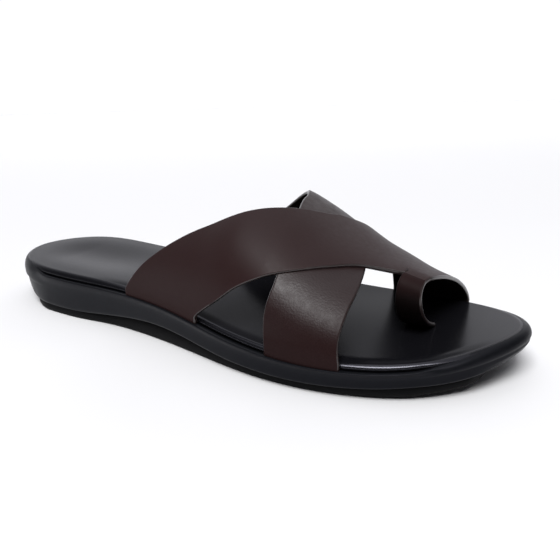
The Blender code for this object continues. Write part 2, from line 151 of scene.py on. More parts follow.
# Share of the length; inset of the insole's edge as a share of the ball width; drop to
# the rim of the sole and width of the rolled edge as shares of the insole's thickness
INSOLE_EDGE = (
    (0.00, 0.020, 0.90, 0.70),
    (0.20, 0.030, 0.90, 0.70),
    (0.34, 0.036, 0.86, 0.65),
    (0.55, 0.037, 0.84, 0.58),
    (0.90, 0.034, 0.86, 0.58),
    (0.97, 0.014, 0.84, 1.15),
    (1.00, 0.014, 0.84, 1.15),
)

# Cross-sections of the last: share of the length, crest height as a share of the instep
# height, crest to the inner side as a share of the ball width, roundness
LAST = (
    (0.330, 0.680, 0.00, 2.5),
    (0.440, 0.860, 0.03, 2.5),
    (0.525, 1.030, 0.07, 2.5),
    (0.600, 1.150, 0.12, 2.5),
    (0.650, 1.020, 0.13, 2.5),
    (0.700, 0.848, 0.11, 2.4),
    (0.745, 0.722, 0.08, 2.2),
    (0.785, 0.637, 0.04, 2.0),
    (0.825, 0.580, -0.01, 1.65),
    (0.880, 0.485, -0.05, 1.45),
)

# Straps: share of the way from the outer foot to the inner foot, then the stations of
# the rear edge and of the front edge as shares of the length
UPPER_STRAP = (
    (0.00, 0.365, 0.536),
    (0.06, 0.390, 0.588),
    (0.11, 0.412, 0.619),
    (0.16, 0.440, 0.648),
    (0.20, 0.465, 0.669),
    (0.26, 0.511, 0.700),
    (0.33, 0.580, 0.736),
    (0.39, 0.619, 0.771),
    (0.44, 0.647, 0.823),
    (0.50, 0.680, 0.823),
    (0.60, 0.708, 0.823),
    (0.80, 0.729, 0.823),
    (1.00, 0.737, 0.823),
)
LOWER_STRAP = (
    (0.00, 0.675, 0.790),
    (0.08, 0.673, 0.786),
    (0.20, 0.676, 0.785),
    (0.32, 0.668, 0.782),
    (0.42, 0.647, 0.767),
    (0.50, 0.625, 0.740),
    (0.56, 0.614, 0.722),
    (0.64, 0.598, 0.695),
    (0.74, 0.559, 0.655),
    (0.87, 0.475, 0.605),
    (1.00, 0.400, 0.560),
)
LOWER_STRAP_WIDTH = 0.036
UPPER_STRAP_WIDTH = 0.044
LOOP_WIDTH = 0.012

# Toe loop: way round the last and station of the rim; the first row is the notch
LOOP_RIM = (
    (0.44, 0.860),
    (0.60, 0.868),
    (0.80, 0.874),
    (1.00, 0.876),
)
# The loop starts at the front edge of the upper strap, and its leg at the notch
FRONT = UPPER_STRAP[-1][2] * LENGTH
NOTCH = LOOP_RIM[0][0]
# Leg between the toes: stations of its foot, its place to the inner side, and the
# curve's reach, belly and rise as shares of the ball width
LEG_FOOT = (0.818, 0.864, 0.035)
LEG_CURVE = (0.10, 0.18, 0.06)

# Side wall of the sole from the tread to the groove: inset as a share of the bulge,
# height as a share of the way from the lower lip to the rim
WALL = (
    (2.40, 0.03),
    (1.30, -0.02),
    (0.50, -0.01),
    (0.12, 0.03),
    (0.00, 0.09),
    (0.14, 0.20),
    (0.44, 0.40),
    (0.68, 0.60),
    (0.70, 0.76),
    (0.45, 0.88),
    (0.33, 0.95),
    (0.42, 1.00),
    (0.75, 1.02),
)
# Share of the wall's height from which heel and toe are one curve up to the insole
CURVE_START = 0.6
# Groove beside the insole: share of its width, depth below the rim, and the angle on the
# insole's roll that takes its place at heel and toe
GROOVE = (
    (0.00, 0.0, 50),
    (0.45, 0.0002, 55),
    (0.65, 0.0007, 60),
    (0.70, SEAT_DEPTH, 65),
)

# Camera of the photo: degrees from the outer side toward the toe, degrees up and roll,
# distance to the point that it looks at, and focal length in pixels of the photo
VIEW_TURN = 31.91
VIEW_RISE = 18.93
VIEW_ROLL = -1.62
VIEW_DISTANCE = 0.5
VIEW_TARGET = (0.07979, 0.14493, -0.03277)
FOCAL_PIXELS = 665.3
PHOTO_PIXELS = 560

# Studio: brightness of the near side, of the backdrop, of its share high up, and overhead;
# the floor ends FLOOR_BEHIND behind the sandal, where the white backdrop takes over
NEAR_LIGHT = 0.07
BACK_LIGHT = 1.07
HIGH_LIGHT = 0.45
ZENITH_LIGHT = 0.85
FLOOR_BEHIND = 1.38
FLOOR_REACH = 6


def lerp_table(rows, column, share):
    """Straight lines through a table column."""
    table = np.array(rows)
    return np.interp(share, table[:, 0], table[:, column])


def smooth_table(rows, column, share):
    """Cubic Hermite curve through a table column, slopes by the weighted mean rise."""
    table = np.array(rows)
    xs = table[:, 0]
    ys = table[:, column]
    step = np.diff(xs)
    rise = np.diff(ys) / step
    slope = np.empty_like(ys)
    slope[0] = rise[0]
    slope[-1] = rise[-1]
    slope[1:-1] = (rise[:-1] * step[1:] + rise[1:] * step[:-1]) / (step[:-1] + step[1:])
    share = np.asarray(share, dtype=float)
    k = np.clip(np.searchsorted(xs, share, side="right") - 1, 0, len(step) - 1)
    t = np.clip((share - xs[k]) / step[k], 0, 1)
    start = (2 * t**3 - 3 * t**2 + 1) * ys[k] + (t**3 - 2 * t**2 + t) * step[k] * slope[k]
    end = (3 * t**2 - 2 * t**3) * ys[k + 1] + (t**3 - t**2) * step[k] * slope[k + 1]
    return start + end


def ease(t):
    """Smooth step from 0 at t = 0 to 1 at t = 1."""
    t = np.clip(t, 0, 1)
    return t * t * (3 - 2 * t)


def station(x):
    """Share of the length at x."""
    return np.asarray(x) / LENGTH


def growing(x, stretch):
    """0 where a stretch along the foot begins, 1 where it is full, smooth between."""
    begin, full = stretch
    return ease((station(x) - begin) / (full - begin))


def outline_points(count):
    """Closed cubic spline through OUTLINE; half of the points on each side."""
    p = np.array([(a * LENGTH, b * BALL_WIDTH) for a, b in OUTLINE])
    m = len(p)
    q = np.vstack([p, p[:1]])
    h = np.sqrt(np.hypot(*np.diff(q, axis=0).T))
    matrix = np.zeros((m, m))
    right = np.zeros((m, 2))
    for i in range(m):
        matrix[i, i - 1] += h[i - 1]
        matrix[i, i] += 2 * (h[i - 1] + h[i])
        matrix[i, (i + 1) % m] += h[i]
        right[i] = 6 * ((q[i + 1] - q[i]) / h[i] - (q[i] - p[i - 1]) / h[i - 1])
    bend = np.linalg.solve(matrix, right)
    bend = np.vstack([bend, bend[:1]])
    knots = np.r_[0, np.cumsum(h)]
    half = count // 2
    inner = np.linspace(0, knots[TOE_POINT], half, endpoint=False)
    outer = np.linspace(knots[TOE_POINT], knots[-1], half, endpoint=False)
    t = np.r_[inner, outer]
    k = np.clip(np.searchsorted(knots, t, side="right") - 1, 0, m - 1)
    a = ((knots[k + 1] - t) / h[k])[:, None]
    b = ((t - knots[k]) / h[k])[:, None]
    hh = (h[k] ** 2 / 6)[:, None]
    return a * q[k] + b * q[k + 1] + (a**3 - a) * hh * bend[k] + (b**3 - b) * hh * bend[k + 1]


def outward(points):
    """Unit vectors that point away from a closed outline."""
    run = np.roll(points, -1, 0) - np.roll(points, 1, 0)
    run = run / np.linalg.norm(run, axis=1)[:, None]
    return np.c_[-run[:, 1], run[:, 0]]


def insole_edge(x):
    """Inset of the insole's edge from the outline."""
    return lerp_table(INSOLE_EDGE, 1, station(x)) * BALL_WIDTH


def roll_width(x):
    """Width of the insole's rolled edge."""
    return lerp_table(INSOLE_EDGE, 3, station(x)) * INSOLE_THICKNESS


def foot_height(x):
    """Top of the insole."""
    return smooth_table(PROFILE, 1, station(x)) * HEEL_HEIGHT


def lip_height(x):
    """Lower lip of the wall."""
    return smooth_table(PROFILE, 2, station(x)) * HEEL_HEIGHT


def floor_height(x):
    """Underside of the tread, which rises off the floor at heel and toe."""
    return np.maximum(lerp_table(PROFILE, 3, station(x)), 0) * HEEL_HEIGHT


def rim_height(x):
    """Rim of the sole beside the insole."""
    return foot_height(x) - lerp_table(INSOLE_EDGE, 2, station(x)) * INSOLE_THICKNESS


def tread_inset(x):
    """Inset of the tread, a tenth of it along the heel and more round heel and toe."""
    beside_heel = growing(x, TREAD_BESIDE_HEEL)
    round_heel = TREAD_HEEL_TUCK * growing(x, TREAD_ROUND_HEEL)
    return TREAD_INSET * (1 - 0.9 * beside_heel) + TREAD_TOE_TUCK * growing(x, TOE_TUCKED) + round_heel


def groove_width(x):
    """Groove between insole and rim, half as wide along the heel and a fifth at the toe."""
    ends = np.maximum(0.6 * growing(x, NARROW_GROOVE_HEEL), growing(x, NARROW_GROOVE_TOE))
    return GROOVE_WIDTH * (1 - 0.8 * ends)


def edge_drop(x, y):
    """Drop of the insole's edge on the outer side of the middle and forefoot."""
    along = growing(x, DROP_FROM_ARCH) * growing(x, DROP_FROM_TOE)
    return EDGE_DROP * along * ease(-np.asarray(y) / (0.25 * BALL_WIDTH))


EDGE = outline_points(1440)
EDGE_OUT = outward(EDGE)
MIDDLE_X = (EDGE[:, 0].min() + EDGE[:, 0].max()) / 2
MIDDLE_Y = (EDGE[:, 1].min() + EDGE[:, 1].max()) / 2


def strap_lines():
    """Across position of the middle of a standing strap on each side, by station."""
    inset = insole_edge(EDGE[:, 0]) - CLEARANCE - STRAP_THICKNESS / 2
    moved = EDGE - EDGE_OUT * inset[:, None]
    half = len(moved) // 2
    lines = []
    for run in (np.vstack([moved[half:], moved[:1]])[::-1], moved[: half + 1]):
        keep = np.r_[True, np.diff(np.maximum.accumulate(run[:, 0])) > 0]
        lines.append((run[keep, 0], run[keep, 1]))
    return lines


OUTER_LINE, INNER_LINE = strap_lines()


def last_point(x, share, lift):
    """Superellipse section of the last at station x.

    y = crest + reach |cos(pi s)|^(2/n), z = top of insole + height sin(pi s)^(2/n).
    """
    x, share, lift = np.broadcast_arrays(np.asarray(x, float), share, lift)
    outer = np.interp(x, *OUTER_LINE)
    inner = np.interp(x, *INNER_LINE)
    crest = smooth_table(LAST, 1, station(x)) * INSTEP_HEIGHT + STRAP_THICKNESS / 2
    shift = smooth_table(LAST, 2, station(x)) * BALL_WIDTH
    power = 2 / smooth_table(LAST, 3, station(x))
    turn = np.pi * share
    c = np.cos(turn)
    s = np.maximum(np.sin(turn), 0)
    reach = np.where(c > 0, outer - shift, inner - shift)
    y = shift + reach * np.abs(c) ** power + np.sign(reach) * lift * np.abs(c) * s
    z = foot_height(x) + (crest + lift * s) * s**power
    return np.stack([x, y, z], -1)


def waves(points):
    """Gentle unevenness of the leather, a sum of three slow sines along the strap."""
    x, y, z = points[..., 0] * 1000, points[..., 1] * 1000, points[..., 2] * 1000
    return WAVE_HEIGHT * (
        np.sin(x / 7.1 + y / 9.7 + 0.4) * 0.5
        + np.sin(x / 12.9 - y / 6.3 + z / 11.0 + 1.9) * 0.7
        + np.sin(y / 16.0 + z / 5.7 + 4.1) * 0.4
    )


def worn_point(x, share, lift):
    """Point of the last, raised by lift and by waves that die out at both feet."""
    return last_point(x, share, lift + waves(last_point(x, share, 0.0)) * np.sin(np.pi * share))


def drape(x, share):
    """Lift of the upper strap: high over the lower strap, low beside it."""
    rear = smooth_table(LOWER_STRAP, 1, share) * LENGTH
    front = smooth_table(LOWER_STRAP, 2, share) * LENGTH
    over = ease((x - rear) / 0.020 + 1.0) * ease((front - x) / 0.022 + 1.0)
    return FREE_LIFT + (CROSSING_LIFT - FREE_LIFT) * over


def make_object(name, points, quads, materials, indices=None):
    """Mesh object at the origin from point and quad arrays."""
    mesh = bpy.data.meshes.new(name)
    points = np.asarray(points, float) - np.array([MIDDLE_X, MIDDLE_Y, 0.0])
    mesh.vertices.add(len(points))
    mesh.vertices.foreach_set("co", points.astype(np.float32).ravel())
    mesh.loops.add(quads.size)
    mesh.loops.foreach_set("vertex_index", quads.ravel().astype(np.int32))
    mesh.polygons.add(len(quads))
    mesh.polygons.foreach_set("loop_start", np.arange(0, quads.size, 4, dtype=np.int32))
    for material in materials:
        mesh.materials.append(material)
    if indices is not None:
        mesh.polygons.foreach_set("material_index", np.asarray(indices, np.int32))
    mesh.update(calc_edges=True)
    mesh.validate()
    mesh.shade_smooth()
    piece = bpy.data.objects.new(name, mesh)
    bpy.context.scene.collection.objects.link(piece)
    return piece


def numbered(shape, first=0):
    """Vertex numbers of a grid, counted from first."""
    return first + np.arange(shape[0] * shape[1]).reshape(shape[:2])


def grid_quads(index):
    """Quads of a grid given as a 2-D array of vertex numbers."""
    a = index[:-1, :-1].ravel()
    b = index[:-1, 1:].ravel()
    c = index[1:, 1:].ravel()
    d = index[1:, :-1].ravel()
    return np.c_[a, b, c, d]


def sheet_normals(points, quads):
    """Unit normals at the points: sum of the cross products of their quads' diagonals."""
    corner = points[quads]
    facing = np.cross(corner[:, 2] - corner[:, 0], corner[:, 3] - corner[:, 1])
    normal = np.zeros_like(points)
    for k in range(4):
        np.add.at(normal, quads[:, k], facing)
    return normal / np.linalg.norm(normal, axis=1)[:, None]


def leather_sheet(name, points, quads, materials):
    """Closed leather of STRAP_THICKNESS round a middle surface, with rounded cut edges.

    Half thickness at distance d from the edge is h (1 - (1 - d/r)^2)^0.5 for d < r,
    never less than a third of h. Materials are the grain side, the lining and the edge.
    """
    normal = sheet_normals(points, quads)
    edges = np.concatenate([quads[:, [k, (k + 1) % 4]] for k in range(4)])
    key = np.sort(edges, axis=1)
    code = key[:, 0].astype(np.int64) * len(points) + key[:, 1]
    _, first, count = np.unique(code, return_index=True, return_counts=True)
    border = edges[first[count == 1]]
    rim = points[np.unique(border)]
    distance = np.empty(len(points))
    for chunk in np.array_split(np.arange(len(points)), max(1, len(points) // 2000)):
        gap = points[chunk][:, None, :] - rim[None, :, :]
        distance[chunk] = np.sqrt((gap**2).sum(-1)).min(1)
    t = np.clip(distance / STRAP_ROUNDING, 0, 1)
    half = STRAP_THICKNESS / 2 * np.maximum(np.sqrt(1 - (1 - t) ** 2), 0.34)
    top = points + normal * half[:, None]
    bottom = points - normal * half[:, None]
    n = len(points)
    side = np.c_[border[:, 1], border[:, 0], border[:, 0] + n, border[:, 1] + n]
    faces = np.vstack([quads, quads[:, ::-1] + n, side])
    near_edge = distance[quads].min(1) < STRAP_ROUNDING * 0.55
    indices = np.r_[np.where(near_edge, 2, 0), np.where(near_edge, 2, 1), np.full(len(side), 2)]
    return make_object(name, np.vstack([top, bottom]), faces, materials, indices)


def across_rows(count, width):
    """Shares across a strap, close together near both cut edges."""
    fine = np.array([0.0, 0.15, 0.35, 0.6, 0.9, 1.3, 1.9, 2.8, 4.2]) * 0.001 / width
    middle = np.linspace(fine[-1], 1 - fine[-1], count)[1:-1]
    return np.r_[fine, middle, 1 - fine[::-1]]


def foot_wall(x, line, depths):
    """Standing end of a strap, one column per depth, between the insole and the sole's rim."""
    y = np.interp(x, *line)
    z = foot_height(x)
    return np.stack([np.stack([x, y, z - depth], -1) for depth in depths], 1)


def strap_points(rows, across, shares, lift):
    """Grid of a strap, one row per line along it, from the inner to the outer foot."""
    v = across[:, None]
    s = shares[None, :]
    rear = smooth_table(rows, 1, s)
    front = smooth_table(rows, 2, s)
    x = (rear + (front - rear) * v) * LENGTH
    body = worn_point(x, s, lift(x, s))
    inner = foot_wall(x[:, 0], INNER_LINE, FOOT_DEPTHS)
    outer = foot_wall(x[:, -1], OUTER_LINE, FOOT_DEPTHS[::-1])
    return np.concatenate([inner, body, outer], 1)


def loop_points(across, shares):
    """Grid of the toe loop from the upper strap's front edge to the rim."""
    v = across[:, None]
    s = shares[None, :]
    x = FRONT + (smooth_table(LOOP_RIM, 1, s) * LENGTH - FRONT) * v
    feet = foot_wall(x[:, 0], INNER_LINE, FOOT_DEPTHS)
    return np.concatenate([feet, worn_point(x, s, drape(x, s))], 1)


def leg_points(across, steps):
    """Leg between the toes: a cubic from the notch that leaves along the last."""
    v = across[:, None]
    x_top = FRONT + (LOOP_RIM[0][1] * LENGTH - FRONT) * v
    start = worn_point(x_top, NOTCH, drape(x_top, NOTCH))
    before = worn_point(x_top, NOTCH + 0.01, drape(x_top, NOTCH + 0.01))
    ahead = start - before
    ahead = ahead / np.linalg.norm(ahead, axis=-1)[..., None]
    rear, front, inward = LEG_FOOT
    x_foot = (rear + (front - rear) * v) * LENGTH
    foot = np.stack([x_foot, np.full_like(x_foot, inward * BALL_WIDTH), foot_height(x_foot) + 0.001], -1)
    reach, belly, rise = LEG_CURVE
    handle_a = start + ahead * reach * BALL_WIDTH
    handle_b = foot + np.array([0.0, -belly, rise]) * BALL_WIDTH
    t = np.linspace(0, 1, steps + 1)[1:][None, :, None]
    s = 1 - t
    curve = s**3 * start + 3 * s**2 * t * handle_a + 3 * s * t**2 * handle_b + t**3 * foot
    down = foot - np.array([0.0, 0.0, 1.0]) * np.array(LEG_DEPTHS)[None, :, None]
    return np.concatenate([curve, down], 1)


def lower_strap(materials):
    """Lower strap, straight on the last."""
    grid = strap_points(
        LOWER_STRAP,
        across_rows(30, LOWER_STRAP_WIDTH),
        np.linspace(1.0, 0.0, 170),
        lambda x, s: 0.0,
    )
    return leather_sheet("lower_strap", grid.reshape(-1, 3), grid_quads(numbered(grid.shape)), materials)


def upper_strap(materials):
    """Upper strap with the toe loop and its leg, one sheet of leather.

    The loop's rows share the front edge of the band as far as the notch, and the leg's
    rows share the end of the loop. The fourth material, the leather with painted shade, goes
    on the leg's outside and rear edge.
    """
    inner_shares = np.linspace(1.0, NOTCH, 110)
    outer_shares = np.linspace(NOTCH, 0.0, 96)[1:]
    across = across_rows(34, UPPER_STRAP_WIDTH)
    band = strap_points(UPPER_STRAP, across, np.r_[inner_shares, outer_shares], drape)
    loop_across = across_rows(6, LOOP_WIDTH)
    loop = loop_points(loop_across[1:], inner_shares)
    leg = leg_points(loop_across, 60)
    band_index = numbered(band.shape)
    loop_index = numbered(loop.shape, band_index.size)
    leg_index = numbered(leg.shape, band_index.size + loop_index.size)
    loop_index = np.vstack([band_index[-1, : loop.shape[1]], loop_index])
    leg_index = np.c_[loop_index[:, -1], leg_index]
    points = np.vstack([grid.reshape(-1, 3) for grid in (band, loop, leg)])
    quads = np.vstack([grid_quads(index) for index in (band_index, loop_index, leg_index)])
    strap = leather_sheet("upper_strap", points, quads, materials)

    corners = np.zeros(len(strap.data.loops), dtype=np.int32)
    strap.data.loops.foreach_get("vertex_index", corners)
    corners = corners.reshape(-1, 4) % len(points)
    indices = np.zeros(len(corners), dtype=np.int32)
    strap.data.polygons.foreach_get("material_index", indices)
    # The leg's outside and rear edge get the leather with painted shade
    outside = np.isin(corners, leg_index).all(1) & (indices == 0)
    rear_edge = np.isin(corners, leg_index[:5]).all(1)
    indices[outside | rear_edge] = 3
    strap.data.polygons.foreach_set("material_index", indices)
    return strap


def hex_color(code):
    """sRGB hex to linear RGBA."""
    out = []
    for k in (0, 2, 4):
        c = int(code[k : k + 2], 16) / 255
        out.append(c / 12.92 if c <= 0.04045 else ((c + 0.055) / 1.055) ** 2.4)
    return (*out, 1.0)


def add_node(tree, kind, settings=None, links=None):
    """A shader node with its settings and incoming links."""
    node = tree.nodes.new(kind)
    for key, value in (settings or {}).items():
        if isinstance(key, str) and hasattr(node, key) and key not in node.inputs.keys():
            setattr(node, key, value)
        else:
            node.inputs[key].default_value = value
    for key, source in (links or {}).items():
        tree.links.new(source, node.inputs[key])
    return node


def new_material(name, color, roughness, specular=0.5, tint="ffffff"):
    """Material with its node tree and its shader."""
    material = bpy.data.materials.new(name)
    material.use_nodes = True
    shader = material.node_tree.nodes["Principled BSDF"]
    shader.inputs["Base Color"].default_value = hex_color(color)
    shader.inputs["Roughness"].default_value = roughness
    shader.inputs["Specular IOR Level"].default_value = specular
    shader.inputs["Specular Tint"].default_value = hex_color(tint)
    return material, material.node_tree, shader


def grain_bump(tree, shader, cell_mm, depth_mm, strength):
    """Pebble grain: Voronoi cells of cell_mm broken up by noise, as a bump of depth_mm."""
    place_node = add_node(tree, "ShaderNodeTexCoord")
    noise = add_node(
        tree,
        "ShaderNodeTexNoise",
        {"Scale": 1000 / (cell_mm * 3.5), "Detail": 4.0, "Roughness": 0.6},
        {"Vector": place_node.outputs["Object"]},
    )
    warp = add_node(
        tree,
        "ShaderNodeMixRGB",
        {"blend_type": "ADD", "Fac": 0.0011 * cell_mm},
        {"Color1": place_node.outputs["Object"], "Color2": noise.outputs["Color"]},
    )
    cells = add_node(
        tree,
        "ShaderNodeTexVoronoi",
        {"feature": "F1", "Scale": 1000 / cell_mm},
        {"Vector": warp.outputs["Color"]},
    )
    height = add_node(
        tree,
        "ShaderNodeMath",
        {"operation": "MULTIPLY_ADD", 1: 0.55},
        {0: noise.outputs["Fac"], 2: cells.outputs["Distance"]},
    )
    bump = add_node(
        tree,
        "ShaderNodeBump",
        {"Strength": strength, "Distance": depth_mm / 1000},
        {"Height": height.outputs["Value"]},
    )
    tree.links.new(bump.outputs["Normal"], shader.inputs["Normal"])
    return noise, place_node


def vary(tree, shader, socket, noise, low, high):
    """Drives a value of the shader between low and high by a noise."""
    spread = add_node(
        tree,
        "ShaderNodeMapRange",
        {"From Min": 0.3, "From Max": 0.7, "To Min": low, "To Max": high},
        {"Value": noise.outputs["Fac"]},
    )
    tree.links.new(spread.outputs["Result"], shader.inputs[socket])


def by_place(tree, place_node, axis, stretch, levels):
    """Value that goes from one level to the other over a stretch along an axis."""
    place = add_node(tree, "ShaderNodeSeparateXYZ", {}, {"Vector": place_node.outputs["Object"]})
    spread = add_node(
        tree,
        "ShaderNodeMapRange",
        {"From Min": stretch[0], "From Max": stretch[1], "To Min": levels[0], "To Max": levels[1]},
        {"Value": place.outputs[axis]},
    )
    return spread.outputs["Result"]


def sheen_by_height(tree, shader, place_node, heights, levels):
    """Specular level from one height over the floor to another."""
    sheen = by_place(tree, place_node, "Z", heights, levels)
    tree.links.new(sheen, shader.inputs["Specular IOR Level"])


def sheen_along(tree, shader, place_node, stops):
    """Specular level along the foot, from stops of share of the length and level."""
    share = by_place(tree, place_node, "X", (-LENGTH / 2, LENGTH / 2), (0.0, 1.0))
    ramp = add_node(tree, "ShaderNodeValToRGB", {}, {"Fac": share})
    elements = ramp.color_ramp.elements
    elements.remove(elements[1])
    elements[0].position = stops[0][0]
    elements[0].color = (stops[0][1],) * 3 + (1.0,)
    for position, level in stops[1:]:
        elements.new(position).color = (level,) * 3 + (1.0,)
    tree.links.new(ramp.outputs["Color"], shader.inputs["Specular IOR Level"])


# Smooth dark brown calf leather with a fine grain, 0.6 mm cells, duller near the sole
upper_leather, tree, shader = new_material("brown_calf_leather", "2b1b1b", 0.46)
noise, place_node = grain_bump(tree, shader, 0.6, 0.05, 0.25)
vary(tree, shader, "Roughness", noise, 0.42, 0.50)
sheen_by_height(tree, shader, place_node, (0.020, 0.050), (0.06, 0.22))

# The same leather down the leg of the toe loop, less glossy, with painted shade: darker toward the insole,
# where the leg lies in the loop's shade
leg_leather_painted_shade, tree, shader = new_material("brown_calf_leather_leg_painted_shade", "2b1b1b", 0.50, 0.06)
_, place_node = grain_bump(tree, shader, 0.6, 0.05, 0.25)
# Painted shade: the base colour goes from near black low on the leg to the leather's brown higher up
painted_shade_tone = add_node(
    tree,
    "ShaderNodeMixRGB",
    {"Color1": hex_color("100a0a"), "Color2": hex_color("2b1b1b")},
    {"Fac": by_place(tree, place_node, "Z", (0.032, 0.044), (0.0, 1.0))},
)
tree.links.new(painted_shade_tone.outputs["Color"], shader.inputs["Base Color"])

# The same leather where it bends over the foot, its grain opened to 0.9 mm cells, its colour a little
# darker than the upper strap's as painted shade
bent_leather_painted_shade, tree, shader = new_material("brown_calf_leather_bent_painted_shade", "261818", 0.42)
noise, place_node = grain_bump(tree, shader, 0.9, 0.10, 0.45)
vary(tree, shader, "Roughness", noise, 0.36, 0.48)
sheen_by_height(tree, shader, place_node, (0.020, 0.040), (0.05, 0.38))

# Dark lining leather, matt, 0.5 mm grain
lining, tree, shader = new_material("dark_lining_leather", "17110f", 0.65, 0.12)
grain_bump(tree, shader, 0.5, 0.04, 0.3)

# Cut leather edge with a satin edge dressing, 0.4 mm grain under a thin clear coat
edge_paint, tree, shader = new_material("dressed_leather_edge", "241918", 0.36)
shader.inputs["Coat Weight"].default_value = 0.5
shader.inputs["Coat Roughness"].default_value = 0.14
grain_bump(tree, shader, 0.4, 0.03, 0.2)

# Cool sheen of the black surfaces
COOL = "f0f0ff"

# Black coated leather of the insole, 0.7 mm grain, a little duller from middle to toes
insole_leather, tree, shader = new_material("black_coated_leather", "111114", 0.30, tint=COOL)
noise, place_node = grain_bump(tree, shader, 0.7, 0.03, 0.2)
vary(tree, shader, "Roughness", noise, 0.19, 0.24)
sheen_along(tree, shader, place_node, ((0.40, 0.12), (0.56, 0.075), (0.86, 0.075), (0.93, 0.12)))

# The same coated leather round the insole's edge, pressed glossier from arch to toes
edge_leather, tree, shader = new_material("black_coated_leather_edge", "111114", 0.24, tint=COOL)
_, place_node = grain_bump(tree, shader, 0.7, 0.02, 0.15)
sheen_along(tree, shader, place_node, ((0.29, 0.24), (0.41, 0.74), (0.85, 0.74), (0.96, 0.24)))

# Black moulded polyurethane, satin skin with a 1.2 mm orange-peel ripple
sole_foam, tree, shader = new_material("black_moulded_polyurethane", "101114", 0.38, 0.155, COOL)
noise, _ = grain_bump(tree, shader, 1.2, 0.02, 0.2)
vary(tree, shader, "Roughness", noise, 0.34, 0.44)

# Black tread rubber, matt, 0.8 mm texture
tread_rubber, tree, shader = new_material("black_tread_rubber", "0a0a0c", 0.62, 0.10)
grain_bump(tree, shader, 0.8, 0.04, 0.3)


def ring_stack(rings):
    """Rings round the outline; inset, height and share of the edge's drop are functions of x."""
    base = outline_points(RING_POINTS)
    out = outward(base)
    points = []
    for inset, height, drop in rings:
        flat = base - out * np.reshape(inset(base[:, 0]), (-1, 1))
        x = flat[:, 0]
        points.append(np.c_[flat, height(x) - drop(x) * edge_drop(x, flat[:, 1])])
    return np.array(points)


def cap_grid(ring, rows, height):
    """Rows across the foot that close a ring, from its inner to its outer side."""
    n = len(ring)
    half = n // 2
    left = ring[1:half]
    right = ring[n - 1 : half : -1]
    t = np.linspace(0, 1, rows + 1)[None, :, None]
    grid = left[:, None, :] + (right - left)[:, None, :] * t
    inside = grid[:, 1:-1]
    inside[..., 2] = height(inside[..., 0], t[0, 1:-1, 0][None, :] * np.ones(inside.shape[:2]))
    return inside


def end_fan(tip, row):
    """Quads from the tip of the heel or toe to a row of the cap, two steps of the row each."""
    return np.c_[np.full(len(row) // 2, tip), row[2::2], row[1::2], row[:-1:2]]


def ring_piece(name, rings, material, low_cap, high_cap, rows):
    """Closed piece from rings with ladder caps; a cap's height is a function of x and across.

    A cap has an even number of rows across the foot, and a fan at the heel and at the toe.
    """
    stack = ring_stack(rings)
    k, n = stack.shape[:2]
    half = n // 2
    points = [stack.reshape(-1, 3)]
    index = numbered(stack.shape)
    quads = [grid_quads(np.c_[index, index[:, :1]])[:, ::-1]]
    total = index.size
    for ring, height, turned in ((0, low_cap, True), (k - 1, high_cap, False)):
        inside = cap_grid(stack[ring], rows, height)
        numbers = numbered(inside.shape, total)
        total += numbers.size
        points.append(inside.reshape(-1, 3))
        row = index[ring]
        ladder = np.c_[row[1:half], numbers, row[n - 1 : half : -1]]
        heel = end_fan(row[0], ladder[0])
        toe = end_fan(row[half], ladder[-1])[:, ::-1]
        faces = np.vstack([heel, grid_quads(ladder), toe])
        quads.append(faces[:, ::-1] if turned else faces)
    return make_object(name, np.vstack(points), np.vstack(quads), [material])


def no_drop(x):
    """Share of the edge's drop for rings that don't follow it."""
    return 0.0


def on_roll(angle, lift):
    """Ring on the wide roll of the insole's edge, or lift above it.

    At angle a: inset + width (1 - cos a), top - ROLL_DEPTH (1 - sin a).
    """
    inward, down = 1 - math.cos(angle), 1 - math.sin(angle)
    return (
        lambda x: insole_edge(x) + roll_width(x) * inward - lift,
        lambda x: foot_height(x) - ROLL_DEPTH * down + lift,
        lambda x: 1 - down,
    )


def blend(ring, end_ring):
    """Ring that turns into end_ring round the back of the heel and round the toe."""

    def mixed(side, end):
        def value(x):
            share = np.maximum(growing(x, HEEL_SMOOTH), growing(x, TOE_SMOOTH))
            return side(x) + (end(x) - side(x)) * share

        return value

    return tuple(mixed(side, end) for side, end in zip(ring, end_ring))


def wall_ring(inset, share):
    """Ring of the wall at a share of its height, tucked further in round toe and heel.

    Toe: WALL_TOE_TUCK at the lip, fading to none at 0.4 of the height, and above that the
    wall comes out again by up to 0.4 of the bulge. Heel: HEEL_INSET + HEEL_TUCK (1 - share)^2.4.
    """
    low = 1 - ease(share / 0.4)
    high = ease((share - 0.4) / 0.4)
    toe = WALL_TOE_TUCK * low - min(inset, WALL_BULGE * 0.4) * high
    heel = HEEL_INSET + HEEL_TUCK * max(0.0, 1 - share) ** 2.4
    return (
        lambda x: inset + toe * growing(x, TOE_TUCKED) + heel * growing(x, HEEL_TUCKED),
        lambda x: lip_height(x) + (rim_height(x) - lip_height(x)) * share,
        no_drop,
    )


def under_lip(ring, share):
    """Ring on the underside of the wall, on its way from the tread's edge to ring."""
    return (
        lambda x: tread_inset(x) * (1 - share) + ring[0](x) * share,
        lip_height,
        no_drop,
    )


def end_ring(share):
    """Ring of the single curve at heel and toe, from CURVE_START up onto the insole's roll.

    With t from 0 to 1 up the curve: the roll's inset times t^2, plus the heel's inset that
    fades with 1 - t, and a share 1.45 t - 0.45 t^2 of the rise.
    """
    t = max(0.0, (share - CURVE_START) / (WALL[-1][1] - CURVE_START))
    inset, height, _ = on_roll(math.radians(45), 0.00005)
    low = wall_ring(0.0, CURVE_START)[1]
    heel = (HEEL_INSET + HEEL_TUCK * 0.11 * (1 - t) ** 2) * (1 - t)
    return (
        lambda x: inset(x) * t**2 + heel * growing(x, HEEL_TUCKED),
        lambda x: low(x) + (height(x) - low(x)) * (1.45 * t - 0.45 * t**2),
        lambda x: t,
    )


